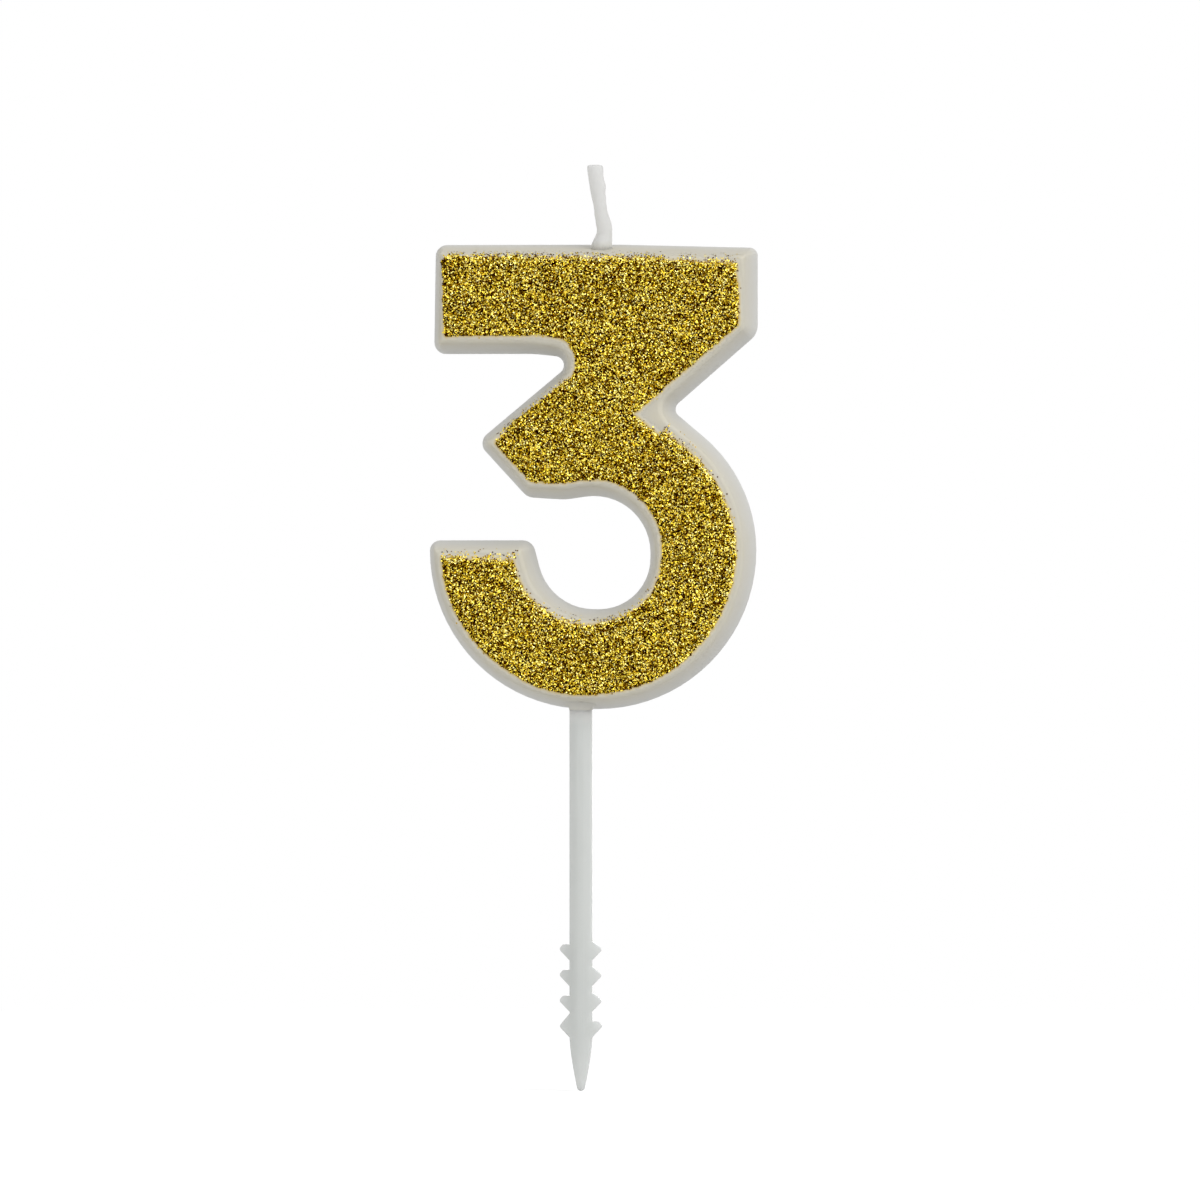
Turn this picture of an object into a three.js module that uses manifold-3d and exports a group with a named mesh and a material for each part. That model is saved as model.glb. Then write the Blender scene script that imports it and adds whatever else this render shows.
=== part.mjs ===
// A numeral 3 birthday candle: cast wax on a barbed plastic cake pick, with a waxed cotton wick
// and gold glitter glued on its front face. Millimetres, +Z up, the glitter faces -Y. The origin
// is on the axis of the pick, at the underside of the numeral.
import * as THREE from "three";
import { mergeVertices } from "three/addons/utils/BufferGeometryUtils.js";
import Module from "manifold-3d";

const wasm = await Module();
wasm.setup();

// Numeral, seen from the front at its widest section
const numeralHeight = 69.75;
const barLeftEnd = 22.2;
const barLength = 48.5;
const barHeight = 16.4;
const barRightHeight = 12.9;
const barDroop = 0.5;
const barLean = 0.25;
const upperNotchX = -0.95;
const upperNotchDrop = 0.7;
const upperNotchRun = 6.3;
const rightNotchX = 13.3;
const rightNotchZ = 45;
const shoulderSlope = 40.2;
const armTipLength = 11.25;
const armTipSlope = 47.5;
const armUnderside = 5.75;
const armUndersideSlope = 3.4;
const lipLength = 3.05;
const lipSlope = 8.5;
const bowlRadius = 24.6;
const bowlOffset = 1.5;
const bowlFullness = 0.8;
const bowlWall = 15;
const counterRadius = 8.5;
const counterOffset = 0.15;
const counterFullness = 0.8;
const terminalHeight = 25.35;
const terminalLean = 14.9;

// Numeral, through its thickness
const numeralDepth = 9;
const moldDraft = 9.5;
const backEdgeRadius = 0.5;
const frontEdgeRadius = 0.85;

// Corner fillets
const barCornerRadius = 1.75;
const barRightRadius = 1.2;
const barHeelRadius = 2.75;
const upperNotchRadius = 1.35;
const droopRadius = 10;
const rightNotchRadius = 1.2;
const armTipRadius = 1.75;
const armHeelRadius = 2.25;
const lipRadius = 8;
const terminalOuterRadius = 1.6;
const terminalInnerRadius = 1.9;
const leastRadius = 0.25;

// Glitter face
const filmThickness = 0.1;
const glitterThickness = 0.3;
const glitterEdgeSlope = 0.15;

// Wick: cotton core in the wax, waxed and thicker where it stands free
const wickX = 3.52;
const wickCoreDiameter = 1.4;
const wickDiameter = 2.15;
const wickFlattening = 0.13;
const wickFlattensOver = 3.2;
const wickExposed = 11.9;
const wickUpright = 0.6;
const wickLeanAtBend = 13.5;
const wickLeanAtTop = 3.8;
const wickHalfTurn = 13.6;
const wickEndRadius = 0.45;
const waxUnderWick = 3.8;
const waxFootHeight = 1.6;
const waxFootWall = 0.2;
const waxFootSpread = 0.77;

// Cake pick
const pickLength = 57.25;
const stemWidth = 3.35;
const stemDepth = 3;
const stemRidge = 0.8;
const stemEdgeRadius = 0.4;
const waxOverTang = 4;
const tangChamfer = 0.4;
const taperLength = 7.3;
const taperBulge = 1.4;
const tipRadius = 0.62;
const tipFlat = 0.15;

// Barbs of the pick, and the teeth that key its tang in the wax
const barbTiers = 4;
const barbPitch = 3.85;
const barbFirst = 36;
const barbSpan = 6.6;
const barbTipThickness = 0.8;
const barbTipRadius = 0.4;
const barbRise = 1.25;
const barbShelfRise = 0.75;
const barbShelf = 0.6;
const barbFall = 1.65;
const lastBarbRise = 1.9;
const toothTiers = 2;
const toothPitch = 3.6;
const toothFirst = 3.4;

// The wax is cast round the wick and the tang. The gap keeps the modelled solids apart.
const castGap = 0.25;

// Fineness of the mesh
const chordError = 0.02;
const shortestEdge = 0.002;
const weldDistance = 1e-5;
const roundSides = 12;
const wickSteps = 9;
const taperSteps = 6;
const tipSteps = 4;

const radians = THREE.MathUtils.degToRad;
const corner = (x, z, radius = 0) => ({ x, z, radius });

// Straight edges between an outline's corners, each with its direction and its inward normal.
function edgesOf(corners) {
  return corners.map((start, i) => {
    const end = corners[(i + 1) % corners.length];
    const run = new THREE.Vector2(end.x - start.x, end.z - start.z);
    const length = run.length();
    const along = run.normalize();
    return { length, along, inwards: new THREE.Vector2(-along.y, along.x) };
  });
}

// Fillets of an outline's corners: how far each turns, the length it takes from its two edges,
// and its radius. Two fillets that would overlap on a short edge share that edge.
function filletsOf(corners, edges) {
  const before = (i) => (i + corners.length - 1) % corners.length;
  const turns = corners.map((_, i) => {
    const from = edges[before(i)].along;
    return Math.atan2(from.cross(edges[i].along), from.dot(edges[i].along));
  });
  const wanted = corners.map(({ radius }, i) => radius * Math.tan(Math.abs(turns[i]) / 2));
  const share = edges.map(({ length }, i) => {
    return Math.min(1, length / (wanted[i] + wanted[(i + 1) % corners.length]));
  });
  return corners.map(({ radius }, i) => {
    const fit = Math.min(share[before(i)], share[i]);
    return { turn: turns[i], taken: wanted[i] * fit, radius: radius * fit };
  });
}

// Points of one fillet, on the outline moved inwards by inset: outer radii shrink, inner grow.
function filletPoints(vertex, before, after, fillet, inset) {
  const { turn, radius } = fillet;
  const miter = before.inwards.clone().add(after.inwards);
  const moved = new THREE.Vector2(vertex.x, vertex.z).addScaledVector(
    miter,
    inset / (1 + before.inwards.dot(after.inwards)),
  );
  if (!radius) return [moved];
  const side = Math.sign(turn);
  const bent = Math.max(radius - side * inset, Math.min(radius, leastRadius));
  const start = moved.clone().addScaledVector(before.along, -bent * Math.tan(Math.abs(turn) / 2));
  const centre = start.clone().addScaledVector(before.inwards, side * bent);
  const step = 2 * Math.acos(1 - Math.min(chordError / radius, 1));
  const steps = Math.ceil(Math.abs(turn) / step);
  return Array.from({ length: steps + 1 }, (_, i) => {
    return start.clone().rotateAround(centre, (turn * i) / steps);
  });
}

// The outline through filleted corners, anticlockwise, moved inwards by inset. Every inset gives
// as many points, so outlines at different insets can be lofted to each other.
function roundedOutline(corners, inset = 0) {
  const edges = edgesOf(corners);
  const fillets = filletsOf(corners, edges);
  return corners.flatMap((vertex, i) => {
    const last = (i + corners.length - 1) % corners.length;
    const points = filletPoints(vertex, edges[last], edges[i], fillets[i], inset);
    const straight = edges[last].length - fillets[last].taken - fillets[i].taken;
    return straight > shortestEdge ? points : points.slice(1);
  });
}

// A closed solid skinned over sections of as many points each. place puts a section's point in
// space, and the first and last sections are closed by flat ends.
function loft(sections, place) {
  const size = sections[0].points.length;
  const positions = sections.flatMap(({ points, at }) => {
    return points.flatMap((point) => place(point, at).toArray());
  });
  const triangles = [];
  for (let ring = 0; ring + 1 < sections.length; ring += 1) {
    for (let i = 0; i < size; i += 1) {
      const a = ring * size + i;
      const b = ring * size + ((i + 1) % size);
      triangles.push([a, b, b + size], [a, b + size, a + size]);
    }
  }
  const capOf = (ring) => THREE.ShapeUtils.triangulateShape(sections[ring].points, []);
  const lastRing = sections.length - 1;
  triangles.push(...capOf(0).map(([a, b, c]) => [c, b, a]));
  triangles.push(...capOf(lastRing).map((face) => face.map((i) => i + lastRing * size)));
  const geometry = new THREE.BufferGeometry();
  geometry.setAttribute("position", new THREE.Float32BufferAttribute(positions, 3));
  geometry.setIndex(triangles.flat());
  return solidOf(geometry);
}

// A manifold solid of a closed geometry, with its faces turned outwards.
function solidOf(geometry) {
  geometry.deleteAttribute("normal");
  geometry.deleteAttribute("uv");
  const merged = mergeVertices(geometry, weldDistance);
  const vertProperties = merged.attributes.position.array;
  const triVerts = new Uint32Array(merged.index.array);
  const solid = new wasm.Manifold(new wasm.Mesh({ numProp: 3, vertProperties, triVerts }));
  if (solid.volume() > 0) return solid;
  triVerts.reverse();
  return new wasm.Manifold(new wasm.Mesh({ numProp: 3, vertProperties, triVerts }));
}

function meshOf(name, solid, material) {
  const { vertProperties, triVerts } = solid.getMesh();
  const geometry = new THREE.BufferGeometry();
  geometry.setAttribute("position", new THREE.BufferAttribute(vertProperties, 3));
  geometry.setIndex(new THREE.BufferAttribute(triVerts, 1));
  geometry.computeVertexNormals();
  const mesh = new THREE.Mesh(geometry, material);
  mesh.name = name;
  return mesh;
}

const inFrontView = (point, y) => new THREE.Vector3(point.x, y, point.y);
const inPlanView = (point, z) => new THREE.Vector3(point.x, point.y, z);

// Corner where the tangents of a circle at two angles meet.
function tangentCorner({ x, z, radius }, from, to) {
  const middle = radians((from + to) / 2);
  const reach = radius / Math.cos(radians((to - from) / 2));
  return corner(x + reach * Math.cos(middle), z + reach * Math.sin(middle), radius);
}

// The counter is the round space inside the bowl.
const counter = {
  x: bowlOffset + counterOffset,
  z: bowlWall + counterRadius,
  radius: counterRadius,
};

// Corners of the lower bowl, from its top left end along the outside to the right notch. The
// bowl is a little fuller at its lower right, and the shoulder's arc runs straight on from it.
function bowlOutside() {
  const bowl = { x: bowlOffset, z: bowlRadius, radius: bowlRadius };
  const right = bowl.x + bowl.radius;
  const lowerRight = bowlRadius - bowlFullness;
  const drop = (right - rightNotchX) * Math.tan(radians(shoulderSlope));
  const shoulder = rightNotchZ - drop;
  const bend = Math.tan(radians(90 - shoulderSlope) / 2);
  return [
    corner(bowl.x - bowl.radius, terminalHeight, terminalOuterRadius),
    tangentCorner(bowl, 180, 270),
    corner(right, bowl.z - bowl.radius, lowerRight),
    corner(right, shoulder, Math.max(shoulder - lowerRight, leastRadius) / bend),
    corner(rightNotchX, rightNotchZ, rightNotchRadius),
  ];
}

// Corners of the middle arm and of the counter, from the arm's point to the bowl's top left end.
function armAndCounter() {
  const lip = radians(90 + lipSlope);
  const lipX = counter.x + counter.radius * Math.cos(lip) - lipLength * Math.sin(lip);
  const lipZ = counter.z + counter.radius * Math.sin(lip) + lipLength * Math.cos(lip);
  const heelX = lipX - armUnderside * Math.cos(radians(armUndersideSlope));
  const heelZ = lipZ + armUnderside * Math.sin(radians(armUndersideSlope));
  const tipX = heelX - armTipLength * Math.cos(radians(armTipSlope));
  const tipZ = heelZ + armTipLength * Math.sin(radians(armTipSlope));
  const right = counter.x + counter.radius;
  const floor = counter.z - counter.radius;
  const lean = radians(terminalLean);
  const innerEdge = counter.x - counter.radius / Math.cos(lean);
  const terminalX = innerEdge - (terminalHeight - counter.z) * Math.tan(lean);
  return [
    corner(tipX, tipZ, armTipRadius),
    corner(heelX, heelZ, armHeelRadius),
    corner(lipX, lipZ, lipRadius),
    tangentCorner(counter, 90 + lipSlope, 0),
    corner(right, floor, counter.radius - counterFullness),
    tangentCorner(counter, -90, terminalLean - 180),
    corner(terminalX, terminalHeight, terminalInnerRadius),
  ];
}

// Corners of the top bar, from its right heel round to the upper notch.
function topBar() {
  const right = barLength - barLeftEnd;
  const rightTop = numeralHeight - barDroop;
  const underside = numeralHeight - barHeight;
  return [
    corner(right, rightTop - barRightHeight, barHeelRadius),
    corner(right, rightTop, barRightRadius),
    corner(wickX + wickDiameter, numeralHeight),
    corner(-barLeftEnd, numeralHeight, barCornerRadius),
    corner(-barLeftEnd - barLean, underside, barCornerRadius),
    corner(upperNotchX - upperNotchRun, underside, droopRadius),
    corner(upperNotchX, underside - upperNotchDrop, upperNotchRadius),
  ];
}

const numeralCorners = [...bowlOutside(), ...topBar(), ...armAndCounter()];

// Section through the wall of the numeral: x is how far the wall stands in from the outline, and
// z how far it is behind the middle. The flank is drafted, so the back is the widest.
function wallSection() {
  const half = numeralDepth / 2;
  const run = numeralDepth * Math.tan(radians(moldDraft));
  const inside = run + backEdgeRadius + frontEdgeRadius;
  const section = roundedOutline([
    corner(0, half, backEdgeRadius),
    corner(run, -half, frontEdgeRadius),
    corner(inside, -half),
    corner(inside, half),
  ]);
  const side = section.filter(({ x }) => x < inside);
  const widest = Math.min(...side.map(({ x }) => x));
  return side.map(({ x, y }) => new THREE.Vector2(x - widest, y));
}

const wall = wallSection();
const faceInset = wall[wall.length - 1].x;
const frontY = -numeralDepth / 2;

// A round section, a plain circle unless it is flattened and turned.
function roundSection(radius, flattening = 0, turn = 0) {
  return Array.from({ length: roundSides }, (_, i) => {
    const angle = (2 * Math.PI * i) / roundSides;
    const across = radius * (1 + flattening) * Math.cos(angle - turn);
    const through = radius * (1 - flattening) * Math.sin(angle - turn);
    return new THREE.Vector2(across, through).rotateAround(new THREE.Vector2(), turn);
  });
}

// Wick: its core stands in the wax and its waxed end on the wax foot, bent over to the left. The
// braid flattens the free end and turns its flat side slowly round it.
const wickFloor = counter.z + counter.radius + waxUnderWick;
const footTop = numeralHeight + waxFootHeight;

function wick() {
  const core = roundSection(wickCoreDiameter / 2);
  const base = roundSection(wickDiameter / 2);
  const bend = footTop + wickUpright;
  const top = numeralHeight + wickExposed;
  const freeLength = top - bend;
  const leanAt = (above) => {
    const atBend = Math.tan(radians(wickLeanAtBend));
    const atTop = Math.tan(radians(wickLeanAtTop));
    return atBend + (atTop - atBend) * (above / freeLength);
  };
  const centreAt = (above) => wickX - above * (leanAt(0) + leanAt(above)) / 2;
  const turnedSection = (above) => {
    const flat = wickFlattening * Math.min(1, above / wickFlattensOver);
    return roundSection(wickDiameter / 2, flat, (Math.PI * (above - freeLength)) / wickHalfTurn);
  };
  const sections = [
    { points: core, at: { x: wickX, z: wickFloor } },
    { points: core, at: { x: wickX, z: footTop } },
    { points: base, at: { x: wickX, z: footTop } },
  ];
  for (let i = 0; i <= wickSteps; i += 1) {
    const above = ((freeLength - wickEndRadius) * i) / wickSteps;
    sections.push({ points: turnedSection(above), at: { x: centreAt(above), z: bend + above } });
  }
  const shrink = 1 - (2 * wickEndRadius) / wickDiameter;
  const end = turnedSection(freeLength).map((point) => point.multiplyScalar(shrink));
  sections.push({ points: end, at: { x: centreAt(freeLength), z: top } });
  return loft(sections, (point, { x, z }) => new THREE.Vector3(point.x + x, point.y, z));
}

// Channel that the wick's core leaves in the wax, open at the top.
function wickChannel() {
  const points = roundSection(wickCoreDiameter / 2 + castGap);
  return loft(
    [
      { points, at: wickFloor - castGap },
      { points, at: footTop + castGap },
    ],
    (point, z) => new THREE.Vector3(point.x + wickX, point.y, z),
  );
}

// Foot of wax that climbs the wick, spread to its left. The drafted top of the bar falls away to
// the front by the inset of the face, so the foot starts below that.
function waxFoot() {
  const neckRadius = wickCoreDiameter / 2 + castGap + waxFootWall;
  const neck = roundSection(neckRadius);
  const spread = roundSection(neckRadius + waxFootSpread / 2);
  const spreadX = wickX - waxFootSpread / 2;
  return loft(
    [
      { points: spread, at: { x: spreadX, z: numeralHeight - barDroop - faceInset } },
      { points: spread, at: { x: spreadX, z: numeralHeight } },
      { points: neck, at: { x: wickX, z: footTop } },
    ],
    (point, { x, z }) => new THREE.Vector3(point.x + x, point.y, z),
  );
}

// Half the pick's thickness at a distance from its middle: a narrow ridge between two facets,
// which run on into the barbs.
const barbEnd = barbSpan / 2;
const facetSlope = (stemDepth - barbTipThickness) / 2 / (barbEnd - stemRidge / 2);
const halfDepthAt = (x) => stemDepth / 2 - (x - stemRidge / 2) * facetSlope;

// Section of the pick, as wide as asked, grown by a gap all round.
function pickSection(halfWidth, gap) {
  const ridge = stemRidge / 2;
  const quarter = [
    corner(halfWidth, halfDepthAt(halfWidth), stemEdgeRadius),
    corner(ridge, stemDepth / 2, stemEdgeRadius),
  ];
  const mirrored = quarter.map(({ x, z, radius }) => corner(-x, z, radius)).reverse();
  const back = [...quarter, ...mirrored];
  const front = back.map(({ x, z, radius }) => corner(-x, -z, radius));
  return roundedOutline([...back, ...front], -gap);
}

const tangTop = bowlWall - waxOverTang;

// Stem of the pick, from the top of its tang to its tapered tip.
function stem(gap) {
  const section = pickSection(stemWidth / 2, gap);
  const tipScale = (2 * tipRadius) / stemWidth;
  const taperEnd = -pickLength + tipRadius;
  const taperStart = taperEnd + taperLength;
  const sections = [];
  const add = (z, scale) => {
    sections.push({ points: section.map((point) => point.clone().multiplyScalar(scale)), at: z });
  };
  add(tangTop + gap, 1 - (2 * tangChamfer) / stemWidth);
  add(tangTop + gap - tangChamfer, 1);
  for (let i = 0; i <= taperSteps; i += 1) {
    const along = i / taperSteps;
    add(taperStart - along * taperLength, 1 - (1 - tipScale) * along ** taperBulge);
  }
  for (let i = 1; i <= tipSteps; i += 1) {
    const angle = radians((90 * i) / tipSteps);
    const scale = Math.max(tipScale * Math.cos(angle), tipFlat / stemWidth);
    add(taperEnd - tipRadius * Math.sin(angle), scale);
  }
  return loft(sections, inPlanView);
}

// One flat barb, on the right side of the pick or turned over to its left. It slopes up to the
// stem, or has a level shelf on top, and it always slopes down to the stem.
function barb(side, tipZ, rise, shelf, gap) {
  const root = stemWidth / 2;
  const top = tipZ + rise;
  const upper = shelf ? corner(barbEnd - barbShelf, top, barbTipRadius) : corner(root, top);
  const corners = [
    corner(0, top),
    corner(0, tipZ - barbFall),
    corner(root, tipZ - barbFall),
    corner(barbEnd, tipZ, barbTipRadius),
    upper,
  ];
  const turned = side > 0 ? corners : corners.map((c) => corner(-c.x, c.z, c.radius)).reverse();
  const points = roundedOutline(turned, -gap);
  return loft(
    [
      { points, at: -stemDepth },
      { points, at: stemDepth },
    ],
    inFrontView,
  );
}

// Barbs low on the pick and keying teeth on its tang, cut to the facets of its section. The last
// tier of barbs has its shelf on the other side.
function barbs(gap) {
  const plates = [];
  for (let tier = 0; tier < barbTiers; tier += 1) {
    const tipZ = -barbFirst - tier * barbPitch;
    const last = tier === barbTiers - 1;
    const shelfSide = last ? 1 : -1;
    const rise = last ? lastBarbRise : barbRise;
    plates.push(barb(shelfSide, tipZ, barbShelfRise, true, gap));
    plates.push(barb(-shelfSide, tipZ, rise, false, gap));
  }
  for (let tier = 0; tier < toothTiers; tier += 1) {
    const tipZ = toothFirst + tier * toothPitch;
    plates.push(barb(1, tipZ, barbRise, false, gap), barb(-1, tipZ, barbRise, false, gap));
  }
  const points = pickSection(barbEnd, gap);
  const facets = loft(
    [
      { points, at: -pickLength },
      { points, at: tangTop },
    ],
    inPlanView,
  );
  return plates.reduce((all, plate) => all.add(plate)).intersect(facets);
}

const cakePick = (gap) => stem(gap).add(barbs(gap));

// Numeral of cast wax, with the channel of the wick and the socket of the tang.
function waxNumeral() {
  const sections = wall.map(({ x, y }) => ({ points: roundedOutline(numeralCorners, x), at: y }));
  return loft(sections, inFrontView)
    .add(waxFoot())
    .subtract(wickChannel())
    .subtract(cakePick(castGap));
}

// A coat on the flat front face: its edge slopes in over its thickness.
function frontCoat(backY, thickness, slope) {
  const back = roundedOutline(numeralCorners, faceInset);
  const front = roundedOutline(numeralCorners, faceInset + slope);
  return loft(
    [
      { points: back, at: backY },
      { points: front, at: backY - thickness },
    ],
    inFrontView,
  );
}

const finish = (color, roughness, metalness = 0) => {
  return new THREE.MeshStandardMaterial({ color, roughness, metalness });
};
const wax = finish(0xd9d6cc, 0.5);
const waxedCotton = finish(0xe2e2de, 0.75);
const whitePlastic = finish(0xdcdeda, 0.4);
const clearGlue = finish(0xc9b98a, 0.3);
const goldGlitter = finish(0xb8962e, 0.35, 1);

const film = frontCoat(frontY, filmThickness, 0);
const glitter = frontCoat(frontY - filmThickness, glitterThickness, glitterEdgeSlope);

const candle = new THREE.Group();
candle.add(
  meshOf("wax_numeral", waxNumeral(), wax),
  meshOf("wick", wick(), waxedCotton),
  meshOf("cake_pick", cakePick(0), whitePlastic),
  meshOf("adhesive_film", film, clearGlue),
  meshOf("glitter_coat", glitter, goldGlitter),
);

export default candle;
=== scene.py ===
import math
import random

import bmesh
import bpy
from mathutils import Matrix, Vector, kdtree, noise
from mathutils.bvhtree import BVHTree


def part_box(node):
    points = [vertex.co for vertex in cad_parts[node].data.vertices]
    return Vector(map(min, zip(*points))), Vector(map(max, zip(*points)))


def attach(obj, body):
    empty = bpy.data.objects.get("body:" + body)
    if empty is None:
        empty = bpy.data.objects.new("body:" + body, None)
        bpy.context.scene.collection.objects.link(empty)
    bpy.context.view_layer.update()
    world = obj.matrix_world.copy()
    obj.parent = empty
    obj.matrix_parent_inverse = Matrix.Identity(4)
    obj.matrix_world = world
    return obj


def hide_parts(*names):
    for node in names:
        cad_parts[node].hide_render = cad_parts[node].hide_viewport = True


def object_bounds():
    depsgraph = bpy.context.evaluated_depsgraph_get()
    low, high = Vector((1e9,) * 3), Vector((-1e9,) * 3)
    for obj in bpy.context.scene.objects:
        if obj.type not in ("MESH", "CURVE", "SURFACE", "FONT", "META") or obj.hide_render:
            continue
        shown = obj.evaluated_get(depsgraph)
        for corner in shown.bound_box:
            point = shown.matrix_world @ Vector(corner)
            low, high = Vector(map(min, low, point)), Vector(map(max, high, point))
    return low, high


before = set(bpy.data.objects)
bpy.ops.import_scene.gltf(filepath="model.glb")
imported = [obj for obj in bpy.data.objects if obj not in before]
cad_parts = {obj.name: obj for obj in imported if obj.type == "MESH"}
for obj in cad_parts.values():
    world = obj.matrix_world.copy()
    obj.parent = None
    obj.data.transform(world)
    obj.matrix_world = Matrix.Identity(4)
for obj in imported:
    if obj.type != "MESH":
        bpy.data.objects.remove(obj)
cad_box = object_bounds()

# Camera. The candle is seen from so far away that its edges stay parallel, level with its middle
# and from a few degrees to its right. The picture is 1200 pixels wide and high.
MM = 0.001
PIXEL = 0.15 * MM
PICTURE_SIDE = 1200
ORIGIN_ACROSS = 581.0
ORIGIN_DOWN = 709.2
CAMERA_TURN = math.radians(4.5)
CAMERA_DISTANCE = 2.5
SENSOR = 36.0

middle = PICTURE_SIDE / 2
to_right = Vector((math.cos(CAMERA_TURN), math.sin(CAMERA_TURN), 0))
to_camera = Vector((math.sin(CAMERA_TURN), -math.cos(CAMERA_TURN), 0))
target = to_right * (middle - ORIGIN_ACROSS) * PIXEL
target.z = (ORIGIN_DOWN - middle) * PIXEL

camera_data = bpy.data.cameras.new("camera")
camera_data.sensor_width = SENSOR
camera_data.lens = SENSOR * CAMERA_DISTANCE / (PICTURE_SIDE * PIXEL)
camera = bpy.data.objects.new("camera", camera_data)
camera.location = target + to_camera * CAMERA_DISTANCE
camera.rotation_euler = to_camera.to_track_quat("Z", "Y").to_euler()
bpy.context.scene.collection.objects.link(camera)
bpy.context.scene.camera = camera
bpy.context.scene.view_settings.view_transform = "Standard"


# Floor, background and lamps. The floor is matt white paper at the tip of the pick. It and the
# world look plain white to the camera and in reflections, and the floor still takes the shadow.
class Socket:
    """An output in a node tree, or the bare tree. Python's operators on it add Math nodes."""

    def __init__(self, tree, output=None):
        self.tree = tree
        self.output = output

    def node(self, kind, settings=(), inputs=(), output=0):
        """Adds a node: first its settings, then the values or links of its inputs."""
        node = self.tree.nodes.new("ShaderNode" + kind)
        for name, setting in dict(settings).items():
            if name == "stops":
                while len(node.color_ramp.elements) < len(setting):
                    node.color_ramp.elements.new(1)
                for element, (place, colour) in zip(node.color_ramp.elements, setting):
                    element.position = place
                    element.color = (*colour, 1)
            else:
                setattr(node, name, setting)
        for name, given in dict(inputs).items():
            if isinstance(given, Socket):
                self.tree.links.new(given.output, node.inputs[name])
            else:
                node.inputs[name].default_value = given
        return None if output is None else Socket(self.tree, node.outputs[output])

    def maths(self, operation, first, second):
        return self.node("Math", {"operation": operation}, {0: first, 1: second})

    def __add__(self, other):
        return self.maths("ADD", self, other)

    __radd__ = __add__

    def __sub__(self, other):
        return self.maths("SUBTRACT", self, other)

    def __rsub__(self, other):
        return self.maths("SUBTRACT", other, self)

    def __mul__(self, other):
        return self.maths("MULTIPLY", self, other)

    __rmul__ = __mul__

    def largest(self, other):
        return self.maths("MAXIMUM", self, other)

    def clamped(self):
        return self.node("Clamp", {}, {"Value": self})


def screen_colour(red, green, blue):
    """Linear colour of a colour as a screen shows it, from 0 to 255."""
    shown = [channel / 255 for channel in (red, green, blue)]
    return tuple(c / 12.92 if c <= 0.04045 else ((c + 0.055) / 1.055) ** 2.4 for c in shown)


def seen_directly(start):
    """1 for rays from the camera, mirrors and glass, and else 0."""
    camera_ray = start.node("LightPath", output="Is Camera Ray")
    glossy_ray = start.node("LightPath", output="Is Glossy Ray")
    glass_ray = start.node("LightPath", output="Is Transmission Ray")
    return camera_ray.largest(glossy_ray).largest(glass_ray)


WORLD_LIGHT = 0.48
WHITE = (1, 1, 1, 1)
world = bpy.data.worlds.new("studio")
bpy.context.scene.world = world
world.use_nodes = True
world.node_tree.nodes.clear()
air = Socket(world.node_tree)
lit = air.node("Background", {}, {"Color": WHITE, "Strength": WORLD_LIGHT})
white = air.node("Background", {}, {"Color": WHITE, "Strength": 1})
both = air.node("MixShader", {}, {0: seen_directly(air), 1: lit, 2: white})
air.node("OutputWorld", {}, {"Surface": both}, None)

FLOOR_RADIUS = 0.5
FLOOR_SIDES = 96
FLOOR_GAP = 0.02 * MM
FLOOR_PAPER = (0.78, 0.78, 0.78, 1)
FLOOR_LIFT = 0.45
paper = bpy.data.materials.new("white_paper")
paper.use_nodes = True
paper.node_tree.nodes.clear()
sheet = Socket(paper.node_tree)
matt = sheet.node("BsdfDiffuse", {}, {"Color": FLOOR_PAPER})
lift = sheet.node("Emission", {}, {"Color": WHITE, "Strength": FLOOR_LIFT})
lifted = sheet.node("AddShader", {}, {0: matt, 1: lift})
both = sheet.node("MixShader", {}, {0: seen_directly(sheet), 1: matt, 2: lifted})
sheet.node("OutputMaterial", {}, {"Surface": both}, None)

floor_shape = bmesh.new()
bmesh.ops.create_circle(floor_shape, cap_ends=True, segments=FLOOR_SIDES, radius=FLOOR_RADIUS)
floor_level = cad_box[0][2] - FLOOR_GAP
bmesh.ops.translate(floor_shape, verts=floor_shape.verts, vec=(0, 0, floor_level))
floor_mesh = bpy.data.meshes.new("floor")
floor_shape.to_mesh(floor_mesh)
floor_shape.free()
floor_mesh.materials.append(paper)
floor = bpy.data.objects.new("floor", floor_mesh)
bpy.context.scene.collection.objects.link(floor)


def soft_lamp(name, place, side, power):
    """A square area lamp, aimed at the middle of the candle."""
    lamp_data = bpy.data.lights.new(name, "AREA")
    lamp_data.size = side
    lamp_data.energy = power
    lamp = bpy.data.objects.new(name, lamp_data)
    lamp.location = place
    lamp.rotation_euler = (Vector(place) - target).to_track_quat("Z", "Y").to_euler()
    bpy.context.scene.collection.objects.link(lamp)


soft_lamp("key_lamp", place=(2.0, -1.65, 1.8), side=2.4, power=54)
soft_lamp("fill_lamp", place=(-1.2, -2.7, 0.7), side=1.6, power=19)
soft_lamp("back_lamp", place=(0.1, 2.9, 0.1), side=1.0, power=15)


# Cake pick: moulded white plastic, with a flat ridge down the middle of its stem, facets on both
# sides and barbs that hold in the cake. It is moulded first, and the wax is cast round its tang.
MERGE = 0.002 * MM
FLAT_WITHIN = math.radians(0.4)
PICK_LIT_WITHIN = 2.5 * MM
PICK_DARKEST = (192, 195, 193)
PICK_PALEST = (196, 199, 197)
# Paler colour painted on the stem just under the numeral, as painted light that cancels its shade.
PICK_LIT_NEAR_NUMERAL = (212, 212, 209)
PICK_STREAKS = (1, 1, 0.12)
PICK_RELIEF = 0.006 * MM
PICK_SHARP = 25
PICK_EDGE = 0.06 * MM


def copy_of(node):
    """The mesh of a CAD node as one closed shape, with no loose triangles."""
    shape = bmesh.new()
    shape.from_mesh(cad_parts[node].data)
    bmesh.ops.remove_doubles(shape, verts=shape.verts, dist=MERGE)
    bmesh.ops.dissolve_limit(shape, angle_limit=FLAT_WITHIN, verts=shape.verts, edges=shape.edges)
    return shape


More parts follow.
